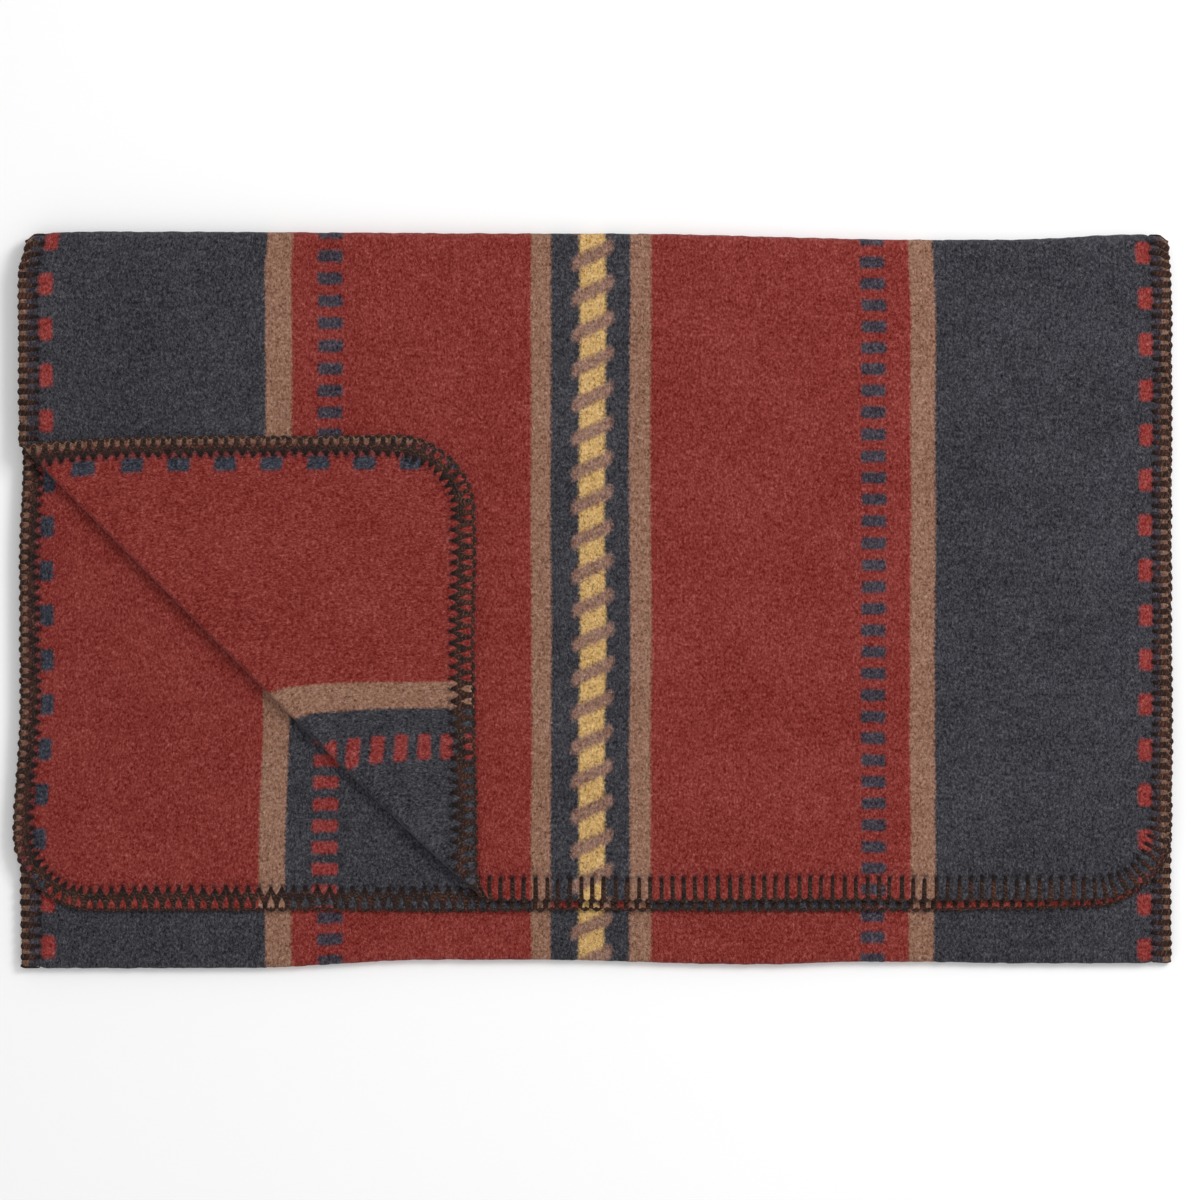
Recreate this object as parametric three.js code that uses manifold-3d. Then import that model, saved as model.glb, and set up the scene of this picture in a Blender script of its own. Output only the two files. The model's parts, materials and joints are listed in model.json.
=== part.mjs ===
// A wool camp blanket, folded in half twice with one corner turned back.
// Millimetres, +X across the blanket, +Y towards its upper fold, +Z up.
// The origin is at the middle of the folded blanket's footprint, on the surface it lies on.
//
// The cloth runs: top layer, round the outer fold, bottom layer, round the lower fold,
// second layer, round the inner fold, third layer. Its two sides are stitched all the way,
// and so are its two ends, one on the top layer and one on the third layer.

import * as THREE from "three";
import { mergeVertices } from "three/addons/utils/BufferGeometryUtils.js";
import Module from "manifold-3d";

const wasm = await Module();
wasm.setup();

// ---------- driving dimensions ----------

const blanketWidth = 762;
const blanketLength = 1840;
const clothThickness = 3.6;
const layerGap = 0.4; // air between two layers that lie on each other
const topEndSetback = 43; // from the lower fold's outside to the top layer's end
const thirdEndSetback = 36; // the same, to the third layer's end
const cornerRadius = 53; // the rounded corners of the cloth
const turnedLeg = 301; // how far the turned corner's fold starts from the corner, along each edge
const edgingDepth = 14.5; // how far the edging's stitches reach in from the edge
const edgingSpine = 2; // edging yarn beyond the cloth's own edge
const tongueThickness = 1.4; // the cloth where the stitches squeeze it
const fitGap = 0.3; // between two pieces that meet
const roundSegments = 32; // facets of a full turn

// ---------- derived dimensions ----------

const layerPitch = clothThickness + layerGap;
const pocketThickness = tongueThickness + 2 * fitGap;
const coreInset = edgingDepth + fitGap;
const tongueInset = edgingSpine + fitGap;

// A fold turns the cloth over one layer gap, or over the two layers inside it.
const tightFold = { inner: layerGap / 2, outer: layerGap / 2 + clothThickness };
const wideFold = { inner: tightFold.outer + layerGap, outer: tightFold.outer + layerPitch };
const foldLength = (fold) => (Math.PI * (fold.inner + fold.outer)) / 2;

// The four layers and three folds together use up the blanket's length.
const foldedDepth =
  (blanketLength -
    foldLength(wideFold) -
    2 * foldLength(tightFold) +
    4 * wideFold.outer +
    2 * tightFold.outer +
    topEndSetback +
    thirdEndSetback) /
  4;
const halfWidth = blanketWidth / 2;
const upperAxisY = foldedDepth / 2 - wideFold.outer;
const lowerAxisY = -foldedDepth / 2 + tightFold.outer;
const topEndY = -foldedDepth / 2 + topEndSetback;
const thirdEndY = -foldedDepth / 2 + thirdEndSetback;
const layerZ = (layer) => layer * layerPitch; // underside of layer 0, the bottom one, to layer 3
const upperAxisZ = layerZ(2) - layerGap / 2;
const lowerAxisZ = layerZ(1) - layerGap / 2;
const cornerAxisZ = layerZ(4) - layerGap / 2;
const cutReach = 20; // how far a tool passes through the side that it cuts

// ---------- materials ----------

function woolMaterial() {
  return new THREE.MeshStandardMaterial({ color: 0x7d322d, roughness: 0.95, metalness: 0 });
}

function edgingMaterial() {
  return new THREE.MeshStandardMaterial({ color: 0x2b1814, roughness: 0.9, metalness: 0 });
}

// ---------- solids ----------

function toSolid(geometry) {
  const bare = geometry.clone();
  bare.deleteAttribute("normal");
  bare.deleteAttribute("uv");
  const merged = mergeVertices(bare, 1e-5);
  const mesh = new wasm.Mesh({
    numProp: 3,
    vertProperties: merged.attributes.position.array,
    triVerts: new Uint32Array(merged.index.array),
  });
  return new wasm.Manifold(mesh);
}

function toMesh(name, solid, material) {
  const data = solid.getMesh();
  const geometry = new THREE.BufferGeometry();
  geometry.setAttribute("position", new THREE.BufferAttribute(data.vertProperties, 3));
  geometry.setIndex(new THREE.BufferAttribute(data.triVerts, 1));
  geometry.computeVertexNormals();
  const mesh = new THREE.Mesh(geometry, material);
  mesh.name = name;
  return mesh;
}

// A slab on a plan outline, centred on z = 0.
function slab(outline, thickness) {
  const geometry = new THREE.ExtrudeGeometry(outline, {
    depth: thickness,
    bevelEnabled: false,
    curveSegments: roundSegments / 4,
  });
  geometry.translate(0, 0, -thickness / 2);
  return toSolid(geometry);
}

function block(lowX, highX, lowY, highY, lowZ, highZ) {
  const geometry = new THREE.BoxGeometry(highX - lowX, highY - lowY, highZ - lowZ);
  geometry.translate((lowX + highX) / 2, (lowY + highY) / 2, (lowZ + highZ) / 2);
  return toSolid(geometry);
}

// A round bar along X, centred on the origin.
function bar(radius, length) {
  const geometry = new THREE.CylinderGeometry(radius, radius, length, roundSegments);
  geometry.rotateZ(Math.PI / 2);
  return toSolid(geometry);
}

function ring(innerRadius, outerRadius, length) {
  return bar(outerRadius, length).subtract(bar(innerRadius, length + 2 * cutReach));
}

// ---------- plan outlines ----------
// Each takes an inset of its stitched edges and a reach past its fold lines.

// A layer between two folds: only its sides are stitched.
function betweenFolds(inset, reach) {
  const x = halfWidth - inset;
  const highY = upperAxisY - fitGap + reach;
  const lowY = lowerAxisY + fitGap - reach;
  const outline = new THREE.Shape();
  outline.moveTo(-x, lowY);
  outline.lineTo(x, lowY);
  outline.lineTo(x, highY);
  outline.lineTo(-x, highY);
  outline.closePath();
  return outline;
}

// A layer that ends in a stitched end with two rounded corners.
function roundedEnd(inset, reach) {
  const x = halfWidth - inset;
  const highY = upperAxisY - fitGap + reach;
  const centreX = halfWidth - cornerRadius;
  const centreY = thirdEndY + cornerRadius;
  const outline = new THREE.Shape();
  outline.moveTo(-x, highY);
  outline.lineTo(-x, centreY);
  outline.absarc(-centreX, centreY, cornerRadius - inset, Math.PI, 1.5 * Math.PI, false);
  outline.lineTo(centreX, thirdEndY + inset);
  outline.absarc(centreX, centreY, cornerRadius - inset, 1.5 * Math.PI, 2 * Math.PI, false);
  outline.lineTo(x, highY);
  outline.closePath();
  return outline;
}

// The top layer: its left corner is away, cut off along the corner fold.
function cutCornerEnd(inset, reach) {
  const x = halfWidth - inset;
  const highY = upperAxisY - fitGap + reach;
  const leg = turnedLeg + (fitGap - reach) * Math.SQRT2;
  const centreX = halfWidth - cornerRadius;
  const centreY = topEndY + cornerRadius;
  const outline = new THREE.Shape();
  outline.moveTo(-x, highY);
  outline.lineTo(-x, topEndY + leg - inset);
  outline.lineTo(-halfWidth + leg - inset, topEndY + inset);
  outline.lineTo(centreX, topEndY + inset);
  outline.absarc(centreX, centreY, cornerRadius - inset, 1.5 * Math.PI, 2 * Math.PI, false);
  outline.lineTo(x, highY);
  outline.closePath();
  return outline;
}

// The turned corner, drawn where it lies before it is turned.
function corner(inset, reach) {
  const leg = turnedLeg - (fitGap - reach) * Math.SQRT2;
  const centreX = -halfWidth + cornerRadius;
  const centreY = topEndY + cornerRadius;
  const outline = new THREE.Shape();
  outline.moveTo(-halfWidth + inset, topEndY + leg - inset);
  outline.lineTo(-halfWidth + inset, centreY);
  outline.absarc(centreX, centreY, cornerRadius - inset, Math.PI, 1.5 * Math.PI, false);
  outline.lineTo(-halfWidth + leg - inset, topEndY + inset);
  outline.closePath();
  return outline;
}

// ---------- cloth and edging ----------

// The cloth of one layer: full thickness inside, and a thinner tongue under the stitches.
function layerCloth(outline) {
  const core = slab(outline(coreInset, cutReach), clothThickness);
  const tongue = slab(outline(tongueInset, cutReach), tongueThickness);
  return core.add(tongue).intersect(slab(outline(-cutReach, 0), 2 * clothThickness));
}

// The edging of one layer, a channel that holds the tongue.
function layerEdging(outline) {
  return slab(outline(0, 0), clothThickness)
    .subtract(slab(outline(edgingDepth, cutReach), 2 * clothThickness))
    .subtract(slab(outline(edgingSpine, cutReach), pocketThickness));
}

// The part of an edging inside a plan rectangle, which stops half a gap short of each side.
function edgingPart(edging, lowX, highX, lowY, highY) {
  const half = fitGap / 2;
  const z = clothThickness;
  return edging.intersect(block(lowX + half, highX - half, lowY + half, highY - half, -z, z));
}

const farX = halfWidth + cutReach;
const farY = foldedDepth;
const straightX = halfWidth - cornerRadius; // where the rounded corners begin

function sideParts(edging) {
  return {
    left: edgingPart(edging, -farX, 0, -farY, farY),
    right: edgingPart(edging, 0, farX, -farY, farY),
  };
}

function roundedEndParts(edging) {
  const cornerY = thirdEndY + cornerRadius;
  return {
    left: edgingPart(edging, -farX, 0, cornerY, farY),
    left_corner: edgingPart(edging, -farX, -straightX, -farY, cornerY),
    end: edgingPart(edging, -straightX, straightX, -farY, cornerY),
    right_corner: edgingPart(edging, straightX, farX, -farY, cornerY),
    right: edgingPart(edging, 0, farX, cornerY, farY),
  };
}

function cutCornerParts(edging) {
  const cornerY = topEndY + cornerRadius;
  const leftFootY = topEndY + turnedLeg / 2;
  return {
    left: edgingPart(edging, -farX, 0, leftFootY, farY),
    end: edgingPart(edging, -halfWidth, straightX, -farY, cornerY),
    right_corner: edgingPart(edging, straightX, farX, -farY, cornerY),
    right: edgingPart(edging, 0, farX, cornerY, farY),
  };
}

function cornerParts(edging) {
  const cornerY = topEndY + cornerRadius;
  return {
    side: edgingPart(edging, -farX, 0, cornerY, farY),
    tip: edgingPart(edging, -farX, -straightX, -farY, cornerY),
    end: edgingPart(edging, -straightX, 0, -farY, cornerY),
  };
}

function layer(name, outline, splitEdging, z) {
  const group = new THREE.Group();
  group.add(toMesh(`${name}_cloth`, layerCloth(outline), woolMaterial()));
  const parts = splitEdging(layerEdging(outline));
  for (const [place, solid] of Object.entries(parts)) {
    group.add(toMesh(`${name}_edging_${place}`, solid, edgingMaterial()));
  }
  group.position.z = z + clothThickness / 2;
  return group;
}

// ---------- folds ----------

// A half-round fold along X that bulges to +Y. The stitches reach endDepth in from each end,
// and their yarn stands endSpine beyond the cloth.
function foldRoll(name, fold, length, endDepth, endSpine) {
  const middle = (fold.inner + fold.outer) / 2;
  const bulge = block(-length, length, 0, 2 * fold.outer, -2 * fold.outer, 2 * fold.outer);
  const core = ring(fold.inner, fold.outer, length - 2 * (endDepth + fitGap));
  const tongueInner = middle - tongueThickness / 2;
  const tongueOuter = middle + tongueThickness / 2;
  const tongue = ring(tongueInner, tongueOuter, length - 2 * (endSpine + fitGap));
  const pocketInner = middle - pocketThickness / 2;
  const pocketOuter = middle + pocketThickness / 2;
  const pocket = ring(pocketInner, pocketOuter, length - 2 * endSpine);
  const inside = bar(2 * fold.outer, length - 2 * endDepth);
  const edging = ring(fold.inner, fold.outer, length).subtract(pocket).subtract(inside).intersect(bulge);
  const side = 2 * fold.outer;
  const group = new THREE.Group();
  group.add(toMesh(`${name}_cloth`, core.add(tongue).intersect(bulge), woolMaterial()));
  const leftHalf = block(-length, 0, -side, side, -side, side);
  const rightHalf = block(0, length, -side, side, -side, side);
  group.add(toMesh(`${name}_edging_left`, edging.intersect(leftHalf), edgingMaterial()));
  group.add(toMesh(`${name}_edging_right`, edging.intersect(rightHalf), edgingMaterial()));
  return group;
}

function sideFold(name, fold, y, z) {
  const group = foldRoll(name, fold, blanketWidth, edgingDepth, edgingSpine);
  group.position.set(0, y, z);
  return group;
}

// ---------- assembly ----------

const blanket = new THREE.Group();
blanket.add(layer("bottom_layer", betweenFolds, sideParts, layerZ(0)));
blanket.add(layer("second_layer", betweenFolds, sideParts, layerZ(1)));
blanket.add(layer("third_layer", roundedEnd, roundedEndParts, layerZ(2)));
blanket.add(layer("top_layer", cutCornerEnd, cutCornerParts, layerZ(3)));
blanket.add(sideFold("outer_fold", wideFold, upperAxisY, upperAxisZ));
blanket.add(sideFold("inner_fold", tightFold, upperAxisY, upperAxisZ));

const lowerFold = sideFold("lower_fold", tightFold, lowerAxisY, lowerAxisZ);
lowerFold.rotation.x = Math.PI;
blanket.add(lowerFold);

// The corner fold crosses the corner at 45 degrees and bulges towards where the corner was.
// Its stitches lie along the blanket's edges, so they cross it at 45 degrees too.
const cornerFoldLength = turnedLeg * Math.SQRT2 - 2 * tightFold.outer;
const cornerFold = foldRoll(
  "corner_fold",
  tightFold,
  cornerFoldLength,
  edgingDepth * Math.SQRT2 - tightFold.outer,
  edgingSpine,
);
const cornerFoldX = -halfWidth + turnedLeg / 2;
const cornerFoldY = topEndY + turnedLeg / 2;
cornerFold.position.set(cornerFoldX, cornerFoldY, cornerAxisZ);
cornerFold.rotation.z = 0.75 * Math.PI;
blanket.add(cornerFold);

// The corner lies level with the top layer, and half a turn about the fold lays it on top.
const cornerLayer = layer("corner", corner, cornerParts, layerZ(3));
cornerLayer.position.x = -cornerFoldX;
cornerLayer.position.y = -cornerFoldY;
cornerLayer.position.z -= cornerAxisZ;
const cornerTurn = new THREE.Group();
cornerTurn.add(cornerLayer);
cornerTurn.position.set(cornerFoldX, cornerFoldY, cornerAxisZ);
cornerTurn.quaternion.setFromAxisAngle(new THREE.Vector3(1, -1, 0).normalize(), Math.PI);
blanket.add(cornerTurn);

export default blanket;
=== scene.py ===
import json
import math

import bpy
import numpy as np
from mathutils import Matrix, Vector
from mathutils.geometry import delaunay_2d_cdt


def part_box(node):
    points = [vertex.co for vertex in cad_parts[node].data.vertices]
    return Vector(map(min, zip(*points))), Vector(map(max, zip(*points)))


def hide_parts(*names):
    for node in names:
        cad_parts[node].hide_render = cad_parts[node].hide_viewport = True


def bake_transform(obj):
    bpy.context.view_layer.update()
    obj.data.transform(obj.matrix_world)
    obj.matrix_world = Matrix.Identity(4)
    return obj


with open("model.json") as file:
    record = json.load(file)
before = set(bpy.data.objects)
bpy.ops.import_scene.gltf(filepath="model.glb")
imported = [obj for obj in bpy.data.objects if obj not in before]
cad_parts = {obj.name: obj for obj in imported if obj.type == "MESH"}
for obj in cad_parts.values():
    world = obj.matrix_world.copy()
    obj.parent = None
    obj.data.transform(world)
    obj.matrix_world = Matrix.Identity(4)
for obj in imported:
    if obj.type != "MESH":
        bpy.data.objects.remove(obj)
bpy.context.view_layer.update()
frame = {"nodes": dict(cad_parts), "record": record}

# The blanket is one cloth, so every piece is drawn flat first, in cloth coordinates:
#   s  across the cloth from its left side
#   t  along the cloth from the end that lies on top
#   n  out of the cloth's middle towards its front
# fold() then lays it in the folded stack. Lengths are in metres, and in millimetres in the shaders.
MM = 0.001

# ---------- sizes read from the frame ----------

JOINTS = {j["name"]: j for j in frame["record"]["behaviour"]["joints"]}


def middle_z(node):
    low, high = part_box(node)
    return (low[2] + high[2]) / 2


HALF_WIDTH = -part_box("bottom_layer_edging_left")[0][0]
WIDTH = 2 * HALF_WIDTH
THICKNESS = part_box("bottom_layer_cloth")[1][2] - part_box("bottom_layer_cloth")[0][2]
UPPER_Y, UPPER_Z = JOINTS["top_fold"]["pos_m"][1:]
CORNER_X, CORNER_Y, CORNER_Z = JOINTS["corner_fold"]["pos_m"]
LOWER_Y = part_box("lower_fold_cloth")[1][1]
LOWER_Z = middle_z("lower_fold_cloth")
TOP_END_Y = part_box("top_layer_edging_end")[0][1]
THIRD_END_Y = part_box("third_layer_edging_end")[0][1]
LEG = 2 * (CORNER_X + HALF_WIDTH)
CUT_GAP = 0.15 * MM  # each edging part stops this far short of where its corner begins
CORNER_RADIUS = HALF_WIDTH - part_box("third_layer_edging_right_corner")[0][0] + CUT_GAP
LAYER_Z = {name: middle_z(f"{name}_layer_cloth") for name in ("bottom", "second", "third", "top")}
UNDER_TOP_Z = (LAYER_Z["third"] + LAYER_Z["top"]) / 2

# ---------- where the cloth folds ----------

CREASE = 0.3  # a pressed crease reaches out this share of what a round fold would
PRESSED = 0.8  # share of the cloth's thickness lost at the very edge of a pressed crease

WIDE_RADIUS = (LAYER_Z["top"] - LAYER_Z["bottom"]) / 2
TIGHT_RADIUS = (LAYER_Z["second"] - LAYER_Z["bottom"]) / 2
WIDE_ARC = math.pi * WIDE_RADIUS
TIGHT_ARC = math.pi * TIGHT_RADIUS
TOP_LENGTH = UPPER_Y - TOP_END_Y
MAIN_LENGTH = UPPER_Y - LOWER_Y
THIRD_LENGTH = UPPER_Y - THIRD_END_Y

# t at the start and end of each stretch of cloth
OUTER_FOLD = (TOP_LENGTH, TOP_LENGTH + WIDE_ARC)
LOWER_FOLD = (OUTER_FOLD[1] + MAIN_LENGTH, OUTER_FOLD[1] + MAIN_LENGTH + TIGHT_ARC)
INNER_FOLD = (LOWER_FOLD[1] + MAIN_LENGTH, LOWER_FOLD[1] + MAIN_LENGTH + TIGHT_ARC)
LENGTH = INNER_FOLD[1] + THIRD_LENGTH
ROUGH_FOLDS = (OUTER_FOLD, LOWER_FOLD)  # the folds that show from outside

SEAM_FROM_LOWER_FOLD = 22 * MM  # the underside seam between the outer and inner pieces
CORNER_SEAM_REACH = 10 * MM  # the corner piece runs this far onto the top layer
T_SEAM = LOWER_FOLD[0] - SEAM_FROM_LOWER_FOLD
CORNER_CUT = LEG + CORNER_SEAM_REACH * math.sqrt(2)  # s + t along the corner piece's cut edge

# ---------- the edging ----------

SIDE_PITCH = 6.9 * MM
END_PITCH = 7.55 * MM
SIDE_DEPTH = 12.2 * MM
END_DEPTH = 15.0 * MM
ROUND_PITCH = 7.4 * MM
ROUND_DEPTH = 14 * MM
DEPTH_EASE = 12 * MM  # the depth changes over this far each way from a side to a corner


def smooth(x, low=0.0, high=1.0):
    u = np.clip((np.asarray(x, float) - low) / (high - low), 0, 1)
    return u * u * (3 - 2 * u)


# ---------- soft unevenness ----------

NOISE_CELLS = 64  # the noise repeats after this many cells
NOISE_START = 20.5  # keeps the whole cloth on cells above 0


class SoftNoise:
    """Smooth value noise from -1 to 1 on a grid of random numbers, the same every run."""

    def __init__(self, seed, cell):
        self.grid = np.random.default_rng(seed).uniform(-1, 1, (NOISE_CELLS, NOISE_CELLS))
        self.cell = cell

    def __call__(self, a, b):
        u = np.asarray(a, float) / self.cell + NOISE_START
        v = np.asarray(b, float) / self.cell + NOISE_START
        i = np.floor(u).astype(int)
        j = np.floor(v).astype(int)
        fu = smooth(u - i)
        fv = smooth(v - j)
        g = self.grid
        i, j, i2, j2 = (k % NOISE_CELLS for k in (i, j, i + 1, j + 1))
        low = g[i, j] * (1 - fu) + g[i2, j] * fu
        high = g[i, j2] * (1 - fu) + g[i2, j2] * fu
        return low * (1 - fv) + high * fv


drift_s = SoftNoise(11, 70 * MM)
drift_t = SoftNoise(12, 80 * MM)
wobble_s = SoftNoise(13, 22 * MM)
wobble_t = SoftNoise(14, 24 * MM)
swell = SoftNoise(15, 105 * MM)
ripple = SoftNoise(18, 38 * MM)
fuzz = SoftNoise(19, 3.2 * MM)
felt_front = SoftNoise(16, 9 * MM)
felt_back = SoftNoise(17, 9 * MM)

DRIFT = 0.7 * MM  # slow wandering of the cloth within its own plane
WOBBLE = 0.28 * MM  # finer wandering, which roughens the outline
SWELL = 0.5 * MM  # how far the top layer stands up off the stack in places
RIPPLE = 0.2 * MM  # finer unevenness of the same kind
FELT = 0.1 * MM  # unevenness of the felted surface
FUZZ = 0.28 * MM  # roughness of the nap where a fold shows it side on


def world_shift(x, y, z):
    """How far the real stack strays from the straight frame, in plan.

    The numbers were set by comparing outlines with the photograph. Places across are shares of
    the half width, and each shift is in millimetres.
    """
    across = x / HALF_WIDTH
    left = smooth(-across, 0.75, 1.0)
    top = z > UNDER_TOP_Z
    third = (z > UPPER_Z) & ~top

    # the folded ends aren't straight
    near_upper = smooth(y, UPPER_Y - 110 * MM, UPPER_Y)
    crest = 3.4 - 1.2 * smooth(across, -0.8, -0.1) - 4.2 * smooth(across, 0, 0.6)
    crest = crest + 3.6 * smooth(across, 0.72, 0.95) - 1.2 * smooth(-across, 0.88, 1.0)
    dy = near_upper * crest * MM
    corner_round = smooth(np.abs(across), 0.984, 1.0) * smooth(y, UPPER_Y - 25 * MM, UPPER_Y)
    dy = dy - corner_round * 3.5 * MM
    near_lower = smooth(-y, -(LOWER_Y + 90 * MM), -LOWER_Y) * (z < UPPER_Z)
    sag = -3.2 + 5.6 * smooth(across, -0.62, -0.28) - 3.0 * smooth(across, -0.1, 0.25)
    sag = sag + 1.6 * smooth(across, 0.3, 0.45) - 1.0 * smooth(across, 0.55, 0.75)
    dy = dy + near_lower * sag * MM
    near_end = smooth(-y, 130 * MM, 200 * MM)
    dy = dy + third * near_end * 3.2 * MM * smooth(across, 0.55, 0.95)

    # nor are the sides: they draw in at the top fold, and the layers don't lie quite square
    at_upper_right = smooth(y, UPPER_Y - 45 * MM, UPPER_Y + 4 * MM) * smooth(across, -0.2, 0.2)
    at_upper_left = smooth(y, UPPER_Y - 20 * MM, UPPER_Y + 9 * MM) * smooth(-across, 0.2, 0.8)
    dx = (at_upper_left * 4.2 - at_upper_right * 2.4 * across) * MM + left * 0.4 * MM
    under_corner = smooth(y, 15 * MM, 95 * MM) * (1 - smooth(y, 150 * MM, 215 * MM))
    dx = dx + ~top * left * 2.7 * MM * under_corner
    striped = smooth(-across, 0.2, 0.55)
    dx = dx - third * striped * (1 - left) * 1.4 * MM
    dx = dx - third * (2.7 * striped + 1.9 * left) * MM * smooth(-y, 60 * MM, 165 * MM)
    drawn_in = smooth(across, 0.955, 1.0) * smooth(UPPER_Y - y, 10 * MM, 60 * MM)
    dx = dx - top * drawn_in * 3.0 * MM
    return dx, dy


def rise(x, y):
    """How far the top layer stands up over the flat stack. It lies flat under the turned corner."""
    up = SWELL * (0.5 + 0.5 * swell(x, y)) + RIPPLE * (0.5 + 0.5 * ripple(x, y))
    off_fold = smooth(UPPER_Y - y, 8 * MM, 60 * MM)
    beside = np.maximum(x - CORNER_X, y - CORNER_Y) - LEG / 2
    return up * off_fold * smooth(beside, 10 * MM, 70 * MM)


def stray(s, t):
    """Cloth coordinates after the cloth's own wandering."""
    s2 = s + DRIFT * drift_s(s, t) + WOBBLE * wobble_s(s, t)
    t2 = t + DRIFT * drift_t(s, t) + WOBBLE * wobble_t(s, t)
    return s2, t2


def fold_profile(t):
    """y, z and the front normal's y and z for each t, round the four layers and three folds."""
    t = np.asarray(t, float)
    y = np.empty_like(t)
    z = np.empty_like(t)
    ny = np.zeros_like(t)
    nz = np.ones_like(t)
    # each layer: where it is, its y, and whether its front faces up or down
    layers = {
        "top": (t <= OUTER_FOLD[0], TOP_END_Y + t, 1),
        "bottom": ((t >= OUTER_FOLD[1]) & (t <= LOWER_FOLD[0]), UPPER_Y - (t - OUTER_FOLD[1]), -1),
        "second": ((t >= LOWER_FOLD[1]) & (t <= INNER_FOLD[0]), LOWER_Y + (t - LOWER_FOLD[1]), 1),
        "third": (t >= INNER_FOLD[1], UPPER_Y - (t - INNER_FOLD[1]), -1),
    }
    for name, (here, along, faces) in layers.items():
        y[here] = along[here]
        z[here] = LAYER_Z[name]
        nz[here] = faces
    quarter = math.pi / 2
    # each fold: its stretch, angle at its start, way round, radius, centre, reach, front and press
    folds = (
        (OUTER_FOLD, quarter, -1, WIDE_RADIUS, (UPPER_Y, UPPER_Z), 1, 1, 0),
        (LOWER_FOLD, -quarter, -1, TIGHT_RADIUS, (LOWER_Y, LOWER_Z), 1, 1, 0),
        (INNER_FOLD, -quarter, 1, TIGHT_RADIUS, (UPPER_Y, UPPER_Z), CREASE, -1, PRESSED),
    )
    for (start, stop), first, way, radius, centre, reach, front, press in folds:
        here = (t > start) & (t < stop)
        angle = first + way * (t[here] - start) / radius
        y[here] = centre[0] + reach * radius * np.cos(angle)
        z[here] = centre[1] + radius * np.sin(angle)
        facing = front * (1 - press * np.cos(angle))
        ny[here] = facing * np.cos(angle)
        nz[here] = facing * np.sin(angle)
    return y, z, ny, nz


CLEAR = 0.1 * MM  # each inner layer stops this far short of the height where they part


def fold(s, t, n):
    """Points in the frame for cloth coordinates, for everything but the turned corner."""
    s2, t2 = stray(s, t)
    y, z, ny, nz = fold_profile(t2)
    x = s2 - HALF_WIDTH
    dx, dy = world_shift(x, y, z)
    on_top = z > UNDER_TOP_Z
    height = z + rise(x, y) * on_top + n * nz
    # the inner layers part here when they unfold, so neither one's nap may reach past the middle
    second = (t2 > LOWER_FOLD[0]) & (t2 < INNER_FOLD[0])
    height = np.where(second, np.minimum(height, UPPER_Z - CLEAR), height)
    height = np.where(t2 > INNER_FOLD[1], np.maximum(height, UPPER_Z + CLEAR), height)
    return np.stack([x + dx, y + dy + n * ny, height], axis=-1)


CORNER_EASE = (-CORNER_SEAM_REACH, 50 * MM)  # the cloth gives a little here to go round its fold


def fold_corner(s, t, n):
    """The same for the turned corner, whose front ends up underneath."""
    s2, t2 = stray(s, t)
    q = (s2 + t2 - LEG) / math.sqrt(2)
    r = (s2 - t2) / math.sqrt(2)
    path = -q + TIGHT_ARC * smooth(-q, *CORNER_EASE)
    angle = np.clip(path / TIGHT_RADIUS, 0, math.pi)
    lying = np.maximum(-path, 0)
    turned = np.maximum(path - TIGHT_ARC, 0)
    n = n * (1 - PRESSED * np.sin(angle))
    out = lying + turned + (n - CREASE * TIGHT_RADIUS) * np.sin(angle)
    x = CORNER_X + (out + r) / math.sqrt(2)
    y = CORNER_Y + (out - r) / math.sqrt(2)
    z = CORNER_Z - TIGHT_RADIUS * np.cos(angle) + n * np.cos(angle)
    dx, dy = world_shift(x, y, z)
    # the turned corner's sides bow out a little, most where they leave the fold
    loose = smooth(-q, -CORNER_SEAM_REACH, 0)
    flap = smooth(-q, 0, 60 * MM)
    dx = dx + loose * 6.5 * MM * np.exp(-np.maximum(y - TOP_END_Y, 0) / (34 * MM))
    dx = dx - flap * 1.2 * MM * np.exp(-(((y - TOP_END_Y - 150 * MM) / (70 * MM)) ** 2))
    lifted = smooth(-q, -4 * MM, 14 * MM)
    dy = dy + lifted * (3.8 + 2.0 * smooth(x, CORNER_X - LEG / 2, CORNER_X + LEG / 2)) * MM
    return np.stack([x + dx, y + dy, z + rise(x, y)], axis=-1)


# ---------- the cloth's edge ----------

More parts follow.
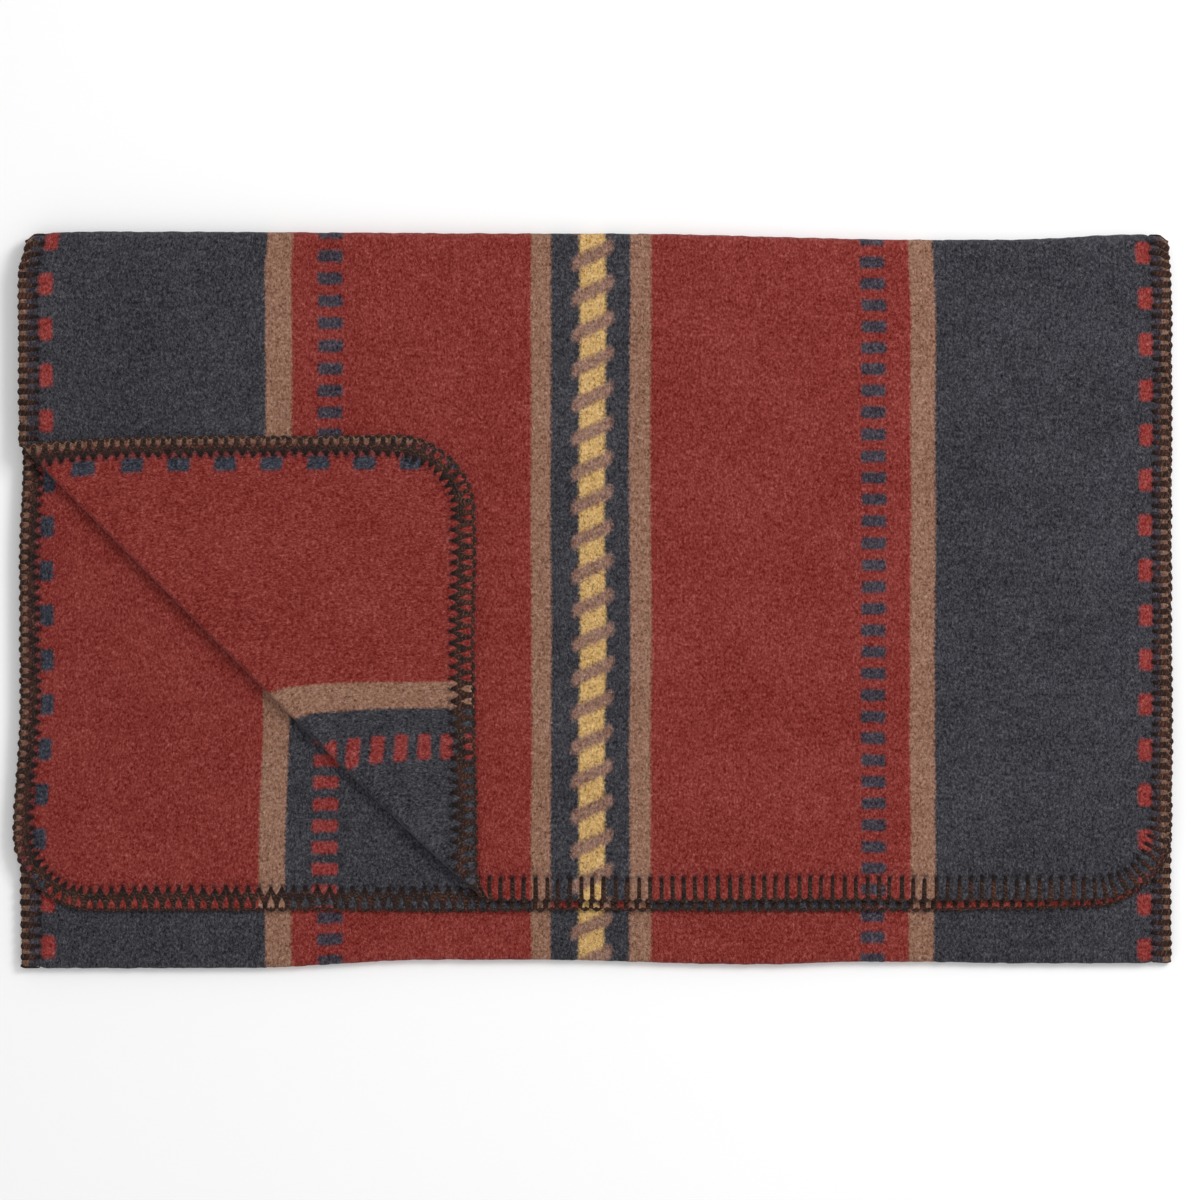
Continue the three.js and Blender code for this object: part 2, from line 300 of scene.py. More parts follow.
class Run:
    """A stitched stretch of the cloth's edge, made of straight lines and quarter circles.

    l is the length along it. Each part is (kind, length, start point, direction, pitch, depth),
    with the cloth on the left of the direction of travel.
    """

    def __init__(self, parts, start_slope=0.0, end_slope=0.0):
        self.parts = parts
        self.start_slope = start_slope
        self.end_slope = end_slope
        self.breaks = np.concatenate([[0], np.cumsum([p[1] for p in parts])])
        self.length = float(self.breaks[-1])
        self.stitches = self._stitches()

    def _which(self, l):
        return np.clip(np.searchsorted(self.breaks, l, side="right") - 1, 0, len(self.parts) - 1)

    def at(self, l):
        """Point, direction of travel and inward normal, for each l."""
        l = np.asarray(l, float)
        which = self._which(l)
        point = np.empty(l.shape + (2,))
        travel = np.empty_like(point)
        for k, (kind, length, start, direction, _, _) in enumerate(self.parts):
            here = which == k
            along = l[here] - self.breaks[k]
            if kind == "line":
                point[here] = np.array(start) + along[:, None] * np.array(direction)
                travel[here] = direction
            else:
                heading = math.atan2(direction[1], direction[0]) + along / CORNER_RADIUS
                centre = np.array(start) + CORNER_RADIUS * np.array([-direction[1], direction[0]])
                side = np.stack([np.sin(heading), -np.cos(heading)], axis=-1)
                point[here] = centre + CORNER_RADIUS * side
                travel[here] = np.stack([np.cos(heading), np.sin(heading)], axis=-1)
        inward = np.stack([-travel[..., 1], travel[..., 0]], axis=-1)
        return point, travel, inward

    def pitch(self, l):
        return np.array([p[4] for p in self.parts])[self._which(np.asarray(l, float))]

    def depth(self, l):
        """How far the stitches reach in, eased from part to part."""
        l = np.asarray(l, float)
        value = np.full(l.shape, self.parts[0][5])
        for k in range(1, len(self.parts)):
            step = self.parts[k][5] - self.parts[k - 1][5]
            value = value + step * smooth(l, self.breaks[k] - DEPTH_EASE, self.breaks[k] + DEPTH_EASE)
        return value

    def _stitches(self):
        found = []
        l = 0.5 * float(self.pitch(0.0))
        while l < self.length - 0.3 * float(self.pitch(l)):
            found.append(l)
            l += float(self.pitch(l))
        return np.array(found)

    def phase(self, l):
        """Turns since the nearest stitch, from -0.5 to 0.5."""
        order = np.arange(len(self.stitches))
        index = np.interp(l, self.stitches, order)
        before = (np.asarray(l) - self.stitches[0]) / self.pitch(0.0)
        after = order[-1] + (np.asarray(l) - self.stitches[-1]) / self.pitch(self.length)
        index = np.where(l < self.stitches[0], before, index)
        index = np.where(l > self.stitches[-1], after, index)
        return index - np.round(index)


def side(start, length, direction):
    return ("line", length, start, direction, SIDE_PITCH, SIDE_DEPTH)


def end(start, length, direction):
    return ("line", length, start, direction, END_PITCH, END_DEPTH)


def rounded(start, direction):
    quarter = math.pi / 2 * CORNER_RADIUS
    return ("arc", quarter, start, direction, ROUND_PITCH, ROUND_DEPTH)


R = CORNER_RADIUS
RIGHT, LEFT, UP, DOWN = (1, 0), (-1, 0), (0, 1), (0, -1)
outer_right_run = Run(
    [
        end((CORNER_CUT, 0), WIDTH - R - CORNER_CUT, RIGHT),
        rounded((WIDTH - R, 0), RIGHT),
        side((WIDTH, R), T_SEAM - R, UP),
    ],
    start_slope=-1,
)
outer_left_run = Run([side((0, T_SEAM), T_SEAM - CORNER_CUT, DOWN)], end_slope=1)
inner_run = Run(
    [
        side((WIDTH, T_SEAM), LENGTH - R - T_SEAM, UP),
        rounded((WIDTH, LENGTH - R), UP),
        end((WIDTH - R, LENGTH), WIDTH - 2 * R, LEFT),
        rounded((R, LENGTH), LEFT),
        side((0, LENGTH - R), LENGTH - R - T_SEAM, DOWN),
    ]
)
corner_run = Run(
    [
        side((0, CORNER_CUT), CORNER_CUT - R, DOWN),
        rounded((0, R), DOWN),
        end((R, 0), CORNER_CUT - R, RIGHT),
    ],
    start_slope=1,
    end_slope=-1,
)

# ---------- cloth meshes ----------

BAND = np.array([0, 0.3, 0.8, 1.5, 2.4, 3.6, 5.0, 6.6, 8.4, 10.2, 11.6, 12.8, 14.2, 15.6, 17.4]) * MM
EDGE_STEP = 1.6 * MM
FLAT_STEP = 6.5 * MM
WIDE_STEP = 1.2 * MM  # between rows round the wide fold
TIGHT_STEP = 0.7 * MM  # and round the tight ones
FINE_STEP = 0.75 * MM  # along the edge where it turns a tight fold
CUT_MARGIN = 2.2 * MM  # the filling's points keep this far from a cut
FULL_HALF = THICKNESS / 2
EDGE_HALF = 1.2 * MM  # half the cloth's thickness where the stitches hold it
EDGE_ROUND = 2.4 * MM
SCALLOP = 0.5 * MM
HOLE_RADIUS = 2.0 * MM
HOLE_DEPTH = 0.8 * MM
BEAD = 0.3 * MM  # how far the cloth bulges between the yarns at its edge
SLIVER = 0.02 * MM**2  # rounding leaves triangles smaller than this along a straight cut


def edge_profile(inset):
    """Half the cloth's thickness near its edge, before the stitches pull at it."""
    half = EDGE_HALF + (FULL_HALF - EDGE_HALF) * smooth(inset, 5 * MM, 17 * MM)
    u = np.clip(np.asarray(inset) / EDGE_ROUND, 0, 1)
    return half * np.sqrt(1 - (1 - u) ** 2)


def stitched_surfaces(inset, phase, pitch, depth):
    """Front and reverse heights, squeezed under the yarn, and a mask of each hole's place, where the
    material paints shade.
    """
    half = edge_profile(inset)
    on_stitch = 0.5 + 0.5 * np.cos(2 * math.pi * phase)
    under = smooth(depth - inset, -1.5 * MM, 2 * MM)
    bead = smooth(inset, 0.4 * MM, 2 * MM) * smooth(7 * MM - inset, 0, 3 * MM)
    front = half * (1 + under * (0.1 - 0.4 * on_stitch)) + BEAD * bead * (1 - on_stitch)
    back = half * (1 - under * 0.2) + BEAD * bead * on_stitch**2
    near_hole = np.exp(-((inset - depth) ** 2 + (phase * pitch) ** 2) / HOLE_RADIUS**2)
    return front - HOLE_DEPTH * near_hole, back - HOLE_DEPTH * near_hole, near_hole


def t_rows(low, high, flat_step, wide_step, tight_step):
    """Rows along the cloth, closer together where it turns."""
    rows = [low]
    stretches = [(OUTER_FOLD, wide_step), (LOWER_FOLD, tight_step), (INNER_FOLD, tight_step)]
    while rows[-1] < high - 0.3 * flat_step:
        t = rows[-1]
        step = flat_step
        for (start, stop), fine in stretches:
            if start - 0.6 * fine <= t < stop:
                step = fine
            elif t < start < t + step:
                step = start - t
        rows.append(t + step)
    rows[-1] = high
    return np.array(rows)


def run_samples(run, edge_step, fine_step):
    """Lengths along a run: evenly spaced, and closer where the cloth turns a fold."""
    found = [0.0]
    while found[-1] < run.length - 0.3 * edge_step:
        l = found[-1]
        point, _, _ = run.at(np.array([l]))
        t = point[0, 1]
        turning = any(a - 2 * MM < t < b + 2 * MM for a, b in (LOWER_FOLD, INNER_FOLD))
        found.append(l + (fine_step if turning else edge_step))
    found[-1] = run.length
    return np.array(found)


def inset_of(s, t):
    """Distance in from the cloth's edge."""
    to_side = np.minimum(s, WIDTH - s)
    to_end = np.minimum(t, LENGTH - t)
    in_corner = (to_side < R) & (to_end < R)
    rounded_inset = R - np.hypot(R - to_side, R - to_end)
    return np.where(in_corner, rounded_inset, np.minimum(to_side, to_end))


def cut_points(a, b, step):
    """Points between a and b along a cut, the same whichever piece asks."""
    count = max(2, int(round(math.dist(a, b) / step)))
    f = np.linspace(0, 1, count + 1)[1:-1, None]
    return np.array(a) + f * (np.array(b) - np.array(a))


class Cloth:
    """Builds one piece of the cloth as a closed solid with a front and a reverse."""

    def __init__(self):
        self.st = []  # cloth coordinates of each point
        self.front = []  # height of the front over the middle there
        self.back = []  # depth of the reverse under the middle there
        self.hole = []  # 1 where the yarn goes in, 0 away from it; the material paints shade by it
        self.count = 0
        self.triangles = []
        self.rim = []  # index ranges of points on the very edge, which front and reverse share
        self.cut_chains = []

    def add_points(self, st, surfaces=None):
        first = self.count
        if surfaces is None:
            half = edge_profile(inset_of(*st.T))
            surfaces = (half, half, np.zeros(len(st)))
        self.st.append(st)
        for store, values in zip((self.front, self.back, self.hole), surfaces):
            store.append(values)
        self.count += len(st)
        return np.arange(first, self.count)

    def add_band(self, run, edge_step=EDGE_STEP, fine_step=FINE_STEP):
        """The stitched border along a run, as rings of points from the edge inwards."""
        samples = run_samples(run, edge_step, fine_step)
        ease = 60 * MM  # the rings lean along a slanted cut only this near to it
        rings = []
        for inset in BAND:
            near_start = np.clip(1 - samples / ease, 0, 1)
            near_end = np.clip(1 - (run.length - samples) / ease, 0, 1)
            l = samples + inset * (run.start_slope * near_start + run.end_slope * near_end)
            point, _, inward = run.at(l)
            phase = run.phase(l)
            pitch = run.pitch(l)
            between = -np.cos(2 * math.pi * phase)
            out = SCALLOP * between * smooth(6 * MM - inset, 0, 6 * MM)
            st = point + (inset - out)[:, None] * inward
            rings.append(self.add_points(st, stitched_surfaces(inset, phase, pitch, run.depth(l))))
        self.rim.append(rings[0])
        for outer, inner in zip(rings[:-1], rings[1:]):
            quads = np.stack([outer[:-1], outer[1:], inner[1:], inner[:-1]], axis=1)
            self.triangles.append(quads[:, [0, 1, 2]])
            self.triangles.append(quads[:, [0, 2, 3]])
        starts = [ring[0] for ring in rings]
        ends = [ring[-1] for ring in rings]
        return rings[-1], starts, ends

    def fill(self, loop, inside_points):
        """Fills the middle, inside a closed loop of point numbers."""
        st = np.concatenate(self.st)
        loop_points = st[loop]
        inner = self.add_points(inside_points)
        numbers = np.concatenate([loop, inner])
        scale = 100.0  # the points are handed over in centimetres
        coords = [Vector(p) for p in np.concatenate([loop_points, inside_points]) * scale]
        edges = [(i, (i + 1) % len(loop)) for i in range(len(loop))]
        made = delaunay_2d_cdt(coords, edges, [], 1, 1e-7, True)
        origin = [ids[0] for ids in made[3]]
        faces = np.array([[origin[v] for v in face] for face in made[2]])
        faces = numbers[faces]
        st = np.concatenate(self.st)
        a, b, c = (st[faces[:, k]] for k in range(3))
        turn = (b - a)[:, 0] * (c - a)[:, 1] - (b - a)[:, 1] * (c - a)[:, 0]
        faces[turn < 0] = faces[turn < 0][:, ::-1]
        self.triangles.append(faces[np.abs(turn) > SLIVER])

    @staticmethod
    def on_fold(t):
        masks = [smooth(t, a - 3 * MM, a) * smooth(b + 3 * MM - t, 0, 3 * MM) for a, b in ROUGH_FOLDS]
        return np.maximum(*masks)

    def finish(self, name, place, materials):
        st = np.concatenate(self.st)
        s, t = st.T
        inner_part = smooth(inset_of(s, t), 1 * MM, 12 * MM)
        rough = FELT * felt_front(s, t) + FUZZ * fuzz(s, t) * self.on_fold(t)
        n_front = np.concatenate(self.front) + rough * inner_part
        n_back = -np.concatenate(self.back) + FELT * felt_back(s, t) * inner_part
        hole = np.concatenate(self.hole)
        front = place(s, t, n_front)
        back = place(s, t, n_back)
        back_number = np.arange(self.count, 2 * self.count)
        for rim in self.rim:
            back_number[rim] = rim
            front[rim] = (front[rim] + back[rim]) / 2
        faces = np.concatenate(self.triangles)
        reverse = back_number[faces][:, ::-1]
        caps = []
        for chain in self.cut_chains:
            chain = np.array(chain)
            a, b = chain[:-1], chain[1:]
            ba, bb = back_number[a], back_number[b]
            caps.append(np.stack([b, a, ba], axis=1))
            caps.append(np.stack([b, ba, bb], axis=1))
        cap_faces = np.concatenate(caps)
        a, b, c = cap_faces.T
        cap_faces = cap_faces[(a != b) & (b != c) & (a != c)]
        points = np.concatenate([front, back])
        cloth = np.concatenate([np.column_stack([st, hole * MM])] * 2)
        every = np.concatenate([faces, reverse, cap_faces])
        side_index = np.zeros(len(every), int)
        side_index[len(faces) : len(faces) + len(reverse)] = 1
        used, renumbered = np.unique(every, return_inverse=True)
        kept_faces = renumbered.reshape(-1, 3)
        return mesh_object(name, points[used], kept_faces, materials, side_index, cloth[used])


def mesh_object(name, points, faces, materials, material_index=None, cloth=None):
    mesh = bpy.data.meshes.new(name)
    mesh.from_pydata(points.tolist(), [], faces.tolist())
    for material in materials:
        mesh.materials.append(material)
    if material_index is not None:
        mesh.polygons.foreach_set("material_index", material_index.astype(np.int32))
    if cloth is not None:
        flat = np.zeros((len(cloth), 3), np.float32)
        flat[:, : cloth.shape[1]] = cloth / MM
        attribute = mesh.attributes.new("cloth_mm", "FLOAT_VECTOR", "POINT")
        attribute.data.foreach_set("vector", flat.ravel())
    mesh.polygons.foreach_set("use_smooth", np.ones(len(faces), bool))
    mesh.update()
    thing = bpy.data.objects.new(name, mesh)
    bpy.context.scene.collection.objects.link(thing)
    return thing


def fold_lattice(rows):
    """Points of the cloth's middle, closer together across the folds that show."""
    on_fold = np.zeros(len(rows), bool)
    for a, b in ROUGH_FOLDS:
        on_fold |= (rows > a - 4 * MM) & (rows < b + 4 * MM)
    near = np.arange(LATTICE_MARGIN + 1.5 * MM, WIDTH - LATTICE_MARGIN, 2.2 * MM)
    return np.concatenate([lattice(across, rows[~on_fold]), lattice(near, rows[on_fold])])


def lattice(s_values, t_values):
    s, t = np.meshgrid(s_values, t_values, indexing="ij")
    return np.stack([s.ravel(), t.ravel()], axis=1)


LATTICE_MARGIN = BAND[-1] + 2.0 * MM
across = np.arange(LATTICE_MARGIN + 1.5 * MM, WIDTH - LATTICE_MARGIN, FLAT_STEP)
INNER = BAND[-1]


def seam_line():
    return cut_points((WIDTH - INNER, T_SEAM), (INNER, T_SEAM), FLAT_STEP)


def diagonal_line():
    return cut_points((INNER, CORNER_CUT - INNER), (CORNER_CUT - INNER, INNER), FLAT_STEP)


def past_diagonal(s, t):
    """Distance from the corner piece's cut, on the side away from the corner."""
    return (s + t - CORNER_CUT) / math.sqrt(2)


def build_outer(materials):
    cloth = Cloth()
    right_ring, right_starts, right_ends = cloth.add_band(outer_right_run)
    left_ring, left_starts, left_ends = cloth.add_band(outer_left_run)
    seam = cloth.add_points(seam_line())
    diagonal = cloth.add_points(diagonal_line())
    loop = np.concatenate([right_ring, seam, left_ring, diagonal])
    rows = t_rows(3 * MM, T_SEAM, FLAT_STEP, WIDE_STEP, TIGHT_STEP)[:-1]
    inside = fold_lattice(rows)
    s, t = inside.T
    keep = inset_of(s, t) > LATTICE_MARGIN
    keep &= past_diagonal(s, t) > CUT_MARGIN
    keep &= T_SEAM - t > CUT_MARGIN
    cloth.fill(loop, inside[keep])
    cloth.cut_chains.append([*right_ends, *seam, *left_starts[::-1]])
    cloth.cut_chains.append([*left_ends, *diagonal, *right_starts[::-1]])
    return cloth.finish("outer_cloth", fold, materials)


def build_inner(materials):
    cloth = Cloth()
    ring, starts, ends = cloth.add_band(inner_run)
    seam = cloth.add_points(seam_line()[::-1])
    loop = np.concatenate([ring, seam])
    rows = t_rows(T_SEAM + 3 * MM, LENGTH - 3 * MM, FLAT_STEP, WIDE_STEP, TIGHT_STEP)
    inside = fold_lattice(rows)
    keep = inset_of(*inside.T) > LATTICE_MARGIN
    cloth.fill(loop, inside[keep])
    cloth.cut_chains.append([*ends, *seam, *starts[::-1]])
    return cloth.finish("inner_cloth", fold, materials)


def build_corner(materials):
    cloth = Cloth()
    ring, starts, ends = cloth.add_band(corner_run, 1.0 * MM, 1.0 * MM)
    diagonal = cloth.add_points(diagonal_line()[::-1])
    loop = np.concatenate([ring, diagonal])
    q_rows = np.concatenate(
        [
            np.arange(-LEG / math.sqrt(2), -TIGHT_ARC - 1 * MM, 5 * MM),
            np.arange(-TIGHT_ARC - 0.5 * MM, 1 * MM, 0.6 * MM),
            [4 * MM],
        ]
    )
    r_values = np.arange(-LEG / math.sqrt(2), LEG / math.sqrt(2), 5 * MM)
    q, r = lattice(q_rows, r_values).T
    inside = np.stack([LEG / 2 + (q + r) / math.sqrt(2), LEG / 2 + (q - r) / math.sqrt(2)], axis=1)
    s, t = inside.T
    keep = (inset_of(s, t) > LATTICE_MARGIN - 0.5 * MM) & (np.minimum(s, t) > 0)
    keep &= -past_diagonal(s, t) > CUT_MARGIN
    cloth.fill(loop, inside[keep])
    cloth.cut_chains.append([*ends, *diagonal, *starts[::-1]])
    return cloth.finish("turned_corner_cloth", fold_corner, materials)


# ---------- edging yarn ----------

def tubes(centres, along, widths, heights, sides=8):
    """Closed flattened tubes: centres is (tube, step, 3), and along points down the blanket's edge."""
    count, steps, _ = centres.shape
    travel = np.gradient(centres, axis=1)
    travel /= np.linalg.norm(travel, axis=-1, keepdims=True)
    thin = np.cross(travel, along)
    thin /= np.linalg.norm(thin, axis=-1, keepdims=True) + 1e-12
    wide = np.cross(thin, travel)
    angle = np.arange(sides) / sides * 2 * math.pi
    ring = (
        centres[:, :, None, :]
        + wide[:, :, None, :] * (widths[..., None] * np.cos(angle))[..., None]
        + thin[:, :, None, :] * (heights[..., None] * np.sin(angle))[..., None]
    )
    points = ring.reshape(-1, 3)
    base = np.arange(count)[:, None, None] * steps * sides
    i = np.arange(steps - 1)[None, :, None] * sides
    j = np.arange(sides)[None, None, :]
    k = (j + 1) % sides
    quads = np.stack([base + i + j, base + i + k, base + i + sides + k, base + i + sides + j], axis=-1)
    quads = quads.reshape(-1, 4)
    faces = [quads[:, [0, 1, 2]], quads[:, [0, 2, 3]]]
    fan = np.arange(1, sides - 1)
    start = np.arange(count)[:, None] * steps * sides
    finish = start + (steps - 1) * sides
    zero = np.zeros(len(fan), int)
    faces.append(np.stack([start + zero, start + fan + 1, start + fan], axis=-1).reshape(-1, 3))
    faces.append(np.stack([finish + zero, finish + fan, finish + fan + 1], axis=-1).reshape(-1, 3))
    faces = np.concatenate(faces)
    # turn the faces out, whichever way the frame came out
    a, b, c = (points[faces[:, m]] for m in range(3))
    middle = points.mean(0)
    volume = np.einsum("ij,ij->i", a - middle, np.cross(b - middle, c - middle)).sum()
    if volume < 0:
        faces = faces[:, ::-1]
    length = np.linalg.norm(np.diff(centres, axis=1), axis=-1)
    travelled = np.concatenate([np.zeros((count, 1)), np.cumsum(length, axis=1)], axis=1)
    yarn = np.zeros((count, steps, sides, 3))
    yarn[..., 0] = travelled[..., None]
    yarn[..., 1] = np.arange(count)[:, None, None] * YARN_APART
    yarn[..., 2] = (angle / (2 * math.pi))[None, None, :] * MM  # in turns, once in millimetres
    return points, faces, yarn.reshape(-1, 3)


def stitch_curve(run, place, holes, insets, heights, spread):
    """The path of one yarn leg from each hole to the rim.

    Each step has its distance in from the rim, its height over the cloth's middle, and how far
    it has moved along the edge, in pitches.
    """
    l = holes[:, None] + run.pitch(holes)[:, None] * spread
    point, _, inward = run.at(l)
    reach = run.depth(holes)[:, None] / END_DEPTH
    inset = np.where(insets > 4 * MM, 4 * MM + (insets - 4 * MM) * (reach - 0.25) / 0.75, insets)
    st = point + inset[..., None] * inward
    n = np.broadcast_to(heights, l.shape)
    centres = place(st[..., 0], st[..., 1], n)
    ahead, _, ahead_inward = run.at(l + 0.5 * MM)
    beside = ahead + inset[..., None] * ahead_inward
    along = place(beside[..., 0], beside[..., 1], n) - centres
    along /= np.linalg.norm(along, axis=-1, keepdims=True)
    return centres, along


# One yarn leg on the front, from the hole over the rim, in millimetres: inset, height, half width
# on the blanket's ends and half width on its sides
FRONT_LEG = np.array(
    [
        (15.4, 0.4, 0.6, 0.6),
        (14.8, 1.0, 1.05, 0.95),
        (13.4, 1.34, 1.3, 1.2),
        (11.0, 1.36, 1.4, 1.4),
        (8.0, 1.34, 1.4, 1.7),
        (5.0, 1.3, 1.4, 2.05),
        (2.6, 1.25, 1.45, 2.35),
        (1.2, 1.1, 1.55, 2.4),
        (0.3, 0.7, 1.55, 2.2),
        (0.0, 0.0, 1.45, 1.9),
        (0.4, -0.7, 1.1, 1.3),
        (1.4, -1.0, 0.7, 0.8),
    ]
)
# The same on the reverse, with the leg's sideways spread in pitches before its half width
BACK_LEG = np.array(
    [
        (15.2, -0.4, 0.0, 0.55),
        (14.6, -1.1, 0.02, 0.8),
        (13.2, -1.34, 0.06, 1.0),
        (11.2, -1.36, 0.15, 1.35),
        (9.2, -1.35, 0.26, 1.8),
        (7.4, -1.32, 0.36, 2.0),
        (6.0, -1.3, 0.42, 1.7),
        (4.5, -1.28, 0.45, 1.3),
        (2.4, -1.2, 0.47, 1.3),
        (1.0, -0.9, 0.48, 1.4),
        (0.3, -0.4, 0.48, 1.0),
        (0.3, 0.4, 0.48, 0.7),
    ]
)
# With the heights above this keeps the yarn off the next layer nearly everywhere. The turned
# corner's yarn and the third layer's still cross in one spot at the left edge.
YARN_HALF_HEIGHT = 0.45 * MM
YARN_APART = 13 * MM  # each leg takes its shading from another place in the noise
CORD_STEPS = 7  # to a stitch


def edging(name, run, place, materials, seed):
    """All the yarn along one run: legs on the front, spread legs on the reverse, and the edge cord."""
    rng = np.random.default_rng(seed)
    holes = run.stitches + rng.normal(0, 0.25 * MM, len(run.stitches))
    size = rng.uniform(0.88, 1.1, len(holes))[:, None]
    lean = rng.normal(0, 0.05, len(holes))[:, None]
    reach = 1 + rng.normal(0, 0.035, len(holes))[:, None]
    on_side = smooth(END_DEPTH - run.depth(holes), 0.5 * MM, 2.5 * MM)[:, None]
    inset, height, end_wide, side_wide = FRONT_LEG.T * MM
    to_rim = np.linspace(0, 1, len(inset))
    insets = inset * np.where(inset > 6 * MM, reach, 1)
    path = stitch_curve(run, place, holes, insets, height, lean * to_rim)
    wide = (end_wide + (side_wide - end_wide) * on_side) * size
    thick = YARN_HALF_HEIGHT * np.minimum(1, end_wide / (1.2 * MM)) * size
    parts = [tubes(*path, wide, thick)]
    inset, height, spread, wide = BACK_LEG.T
    insets = inset * MM * np.where(inset > 6, reach, 1)
    for way in (-1, 1):
        path = stitch_curve(run, place, holes, insets, height * MM, way * spread + lean)
        thick = YARN_HALF_HEIGHT * np.minimum(1, wide / 1.2) * size
        parts.append(tubes(*path, wide * MM * size, thick, sides=6))
    parts.append(edge_cord(run, place))
    points, faces, yarn = [], [], []
    first = 0
    for p, f, u in parts:
        points.append(p)
        faces.append(f + first)
        yarn.append(u)
        first += len(p)
    points, faces, yarn = (np.concatenate(each) for each in (points, faces, yarn))
    return mesh_object(name, points, faces, materials, cloth=yarn)


def edge_cord(run, place):
    """The yarn that runs along the very edge and links the stitches, knotted at each of them."""
    steps = len(run.stitches) * CORD_STEPS
    l = np.linspace(0.6 * MM, run.length - 0.6 * MM, steps)
    turn = np.cos(2 * math.pi * run.phase(l))
    point, _, inward = run.at(l)
    uneven = 0.35 * MM * wobble_s(l * 3, l)
    st = point + (uneven + (0.4 - 0.45 * turn) * MM)[:, None] * inward
    n = (0.15 + 0.2 * turn) * MM
    centres = place(st[:, 0], st[:, 1], n)[None]
    away = place(st[:, 0], st[:, 1], n + 0.5 * MM)[None] - centres
    away /= np.linalg.norm(away, axis=-1, keepdims=True)
    on_end = smooth(run.depth(l) - SIDE_DEPTH, 0.5 * MM, 2.5 * MM)
    thick = (0.85 + 0.35 * turn + 0.2 * on_end) * MM
    return tubes(centres, away, thick[None], (thick * (1.1 + 0.25 * on_end))[None], sides=6)


# ---------- materials ----------

class Graph:
    """A short way to write shader nodes."""

    def __init__(self, name):
        self.material = bpy.data.materials.new(name)
        self.material.use_nodes = True
        self.tree = self.material.node_tree
        self.tree.nodes.clear()

    def node(self, kind, **settings):
        made = self.tree.nodes.new(kind)
        for key, value in settings.items():
            setattr(made, key, value)
        return made

    def set(self, socket, value):
        if isinstance(value, bpy.types.NodeSocket):
            self.tree.links.new(value, socket)
        elif value is not None:
            socket.default_value = value

    def math(self, operation, a, b=None):
        made = self.node("ShaderNodeMath", operation=operation)
        for socket, value in zip(made.inputs, (a, b)):
            self.set(socket, value)
        return made.outputs[0]

    def add(self, a, b):
        return self.math("ADD", a, b)

    def minus(self, a, b):
        return self.math("SUBTRACT", a, b)

    def times(self, a, b):
        return self.math("MULTIPLY", a, b)

    def mix(self, factor, a, b):
        made = self.node("ShaderNodeMix", data_type="RGBA", blend_type="MIX")
        self.set(made.inputs[0], factor)
        self.set(made.inputs[6], a)
        self.set(made.inputs[7], b)
        return made.outputs[2]

    def ramp(self, value, low, high):
        """0 at low, 1 at high, straight between."""
        made = self.node("ShaderNodeMapRange", interpolation_type="LINEAR", clamp=True)
        for socket, given in zip(made.inputs, (value, low, high, 0.0, 1.0)):
            self.set(socket, given)
        return made.outputs[0]

    def within(self, value, low, high, soft):
        """1 between low and high, with edges soft wide."""
        rising = self.ramp(value, low - soft / 2, low + soft / 2)
        falling = self.ramp(value, high + soft / 2, high - soft / 2)
        return self.times(rising, falling)

    def cloth_position(self):
        """The stored cloth coordinates, whole and split in three."""
        source = self.node("ShaderNodeAttribute", attribute_name="cloth_mm", attribute_type="GEOMETRY")
        split = self.node("ShaderNodeSeparateXYZ")
        self.set(split.inputs[0], source.outputs["Vector"])
        return source.outputs["Vector"], split.outputs

    def gamma(self, colour, power):
        made = self.node("ShaderNodeGamma")
        self.set(made.inputs["Color"], colour)
        made.inputs["Gamma"].default_value = power
        return made.outputs[0]

    def noise(self, vector, scale, detail=2.0, roughness=0.5):
        made = self.node("ShaderNodeTexNoise", noise_dimensions="3D")
        given = {"Vector": vector, "Scale": scale, "Detail": detail, "Roughness": roughness}
        for socket, value in given.items():
            self.set(made.inputs[socket], value)
        return made.outputs["Fac"]

    def scaled(self, vector, x, y, z=1.0, offset=(0, 0, 0)):
        made = self.node("ShaderNodeMapping", vector_type="POINT")
        self.set(made.inputs["Vector"], vector)
        made.inputs["Scale"].default_value = (x, y, z)
        made.inputs["Location"].default_value = offset
        return made.outputs[0]

    def turned(self, vector, angle, across, along, offset):
        """Coordinates turned by an angle, then counted in steps of the two given lengths."""
        made = self.node("ShaderNodeMapping", vector_type="TEXTURE")
        self.set(made.inputs["Vector"], vector)
        made.inputs["Rotation"].default_value = (0, 0, angle)
        made.inputs["Scale"].default_value = (across, along, 1)
        made.inputs["Location"].default_value = offset
        return made.outputs[0]

    def surface(self, colour, roughness, height, strength, distance, sheen, specular=0.25):
        shader = self.node("ShaderNodeBsdfPrincipled")
        self.set(shader.inputs["Base Color"], colour)
        self.set(shader.inputs["Roughness"], roughness)
        shader.inputs["Specular IOR Level"].default_value = specular
        shader.inputs["Sheen Weight"].default_value = sheen
        shader.inputs["Sheen Roughness"].default_value = 0.6
        bump = self.node("ShaderNodeBump")
        bump.inputs["Strength"].default_value = strength
        bump.inputs["Distance"].default_value = distance
        self.set(bump.inputs["Height"], height)
        self.tree.links.new(bump.outputs[0], shader.inputs["Normal"])
        output = self.node("ShaderNodeOutputMaterial")
        self.tree.links.new(shader.outputs[0], output.inputs["Surface"])


def srgb(red, green, blue):
    """A linear colour from the usual 0 to 255 numbers."""
    def linear(v):
        v = v / 255
        return v / 12.92 if v <= 0.04045 else ((v + 0.055) / 1.055) ** 2.4

    return (linear(red), linear(green), linear(blue), 1.0)


